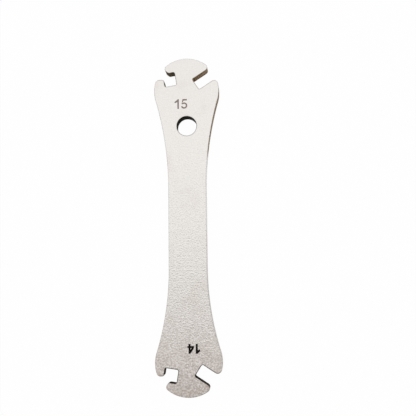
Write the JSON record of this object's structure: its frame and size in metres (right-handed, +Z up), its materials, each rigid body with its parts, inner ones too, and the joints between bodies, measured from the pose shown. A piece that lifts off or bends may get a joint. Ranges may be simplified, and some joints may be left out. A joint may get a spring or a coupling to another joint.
{
  "type": "spoke wrench",
  "caption": "Flat steel plate wrench for turning bicycle spoke nipples: a waisted handle with an open jaw and a square slot cut into each rounded end, and a round hanging hole.",
  "frame": {"origin": "centre of the plate's outline on its back face, which lies on the bench", "axes": "+Y along the plate to its small end, +X across it to the side of the open jaws, +Z up through the thickness to the marked face"},
  "size_m": [0.0176, 0.09, 0.0035],
  "materials": {
    "wrench_plate": "blasted satin steel, with darker cut edges"
  },
  "bodies": {
    "root": {"wrench_plate": "wrench_plate"}
  },
  "joints": []
}
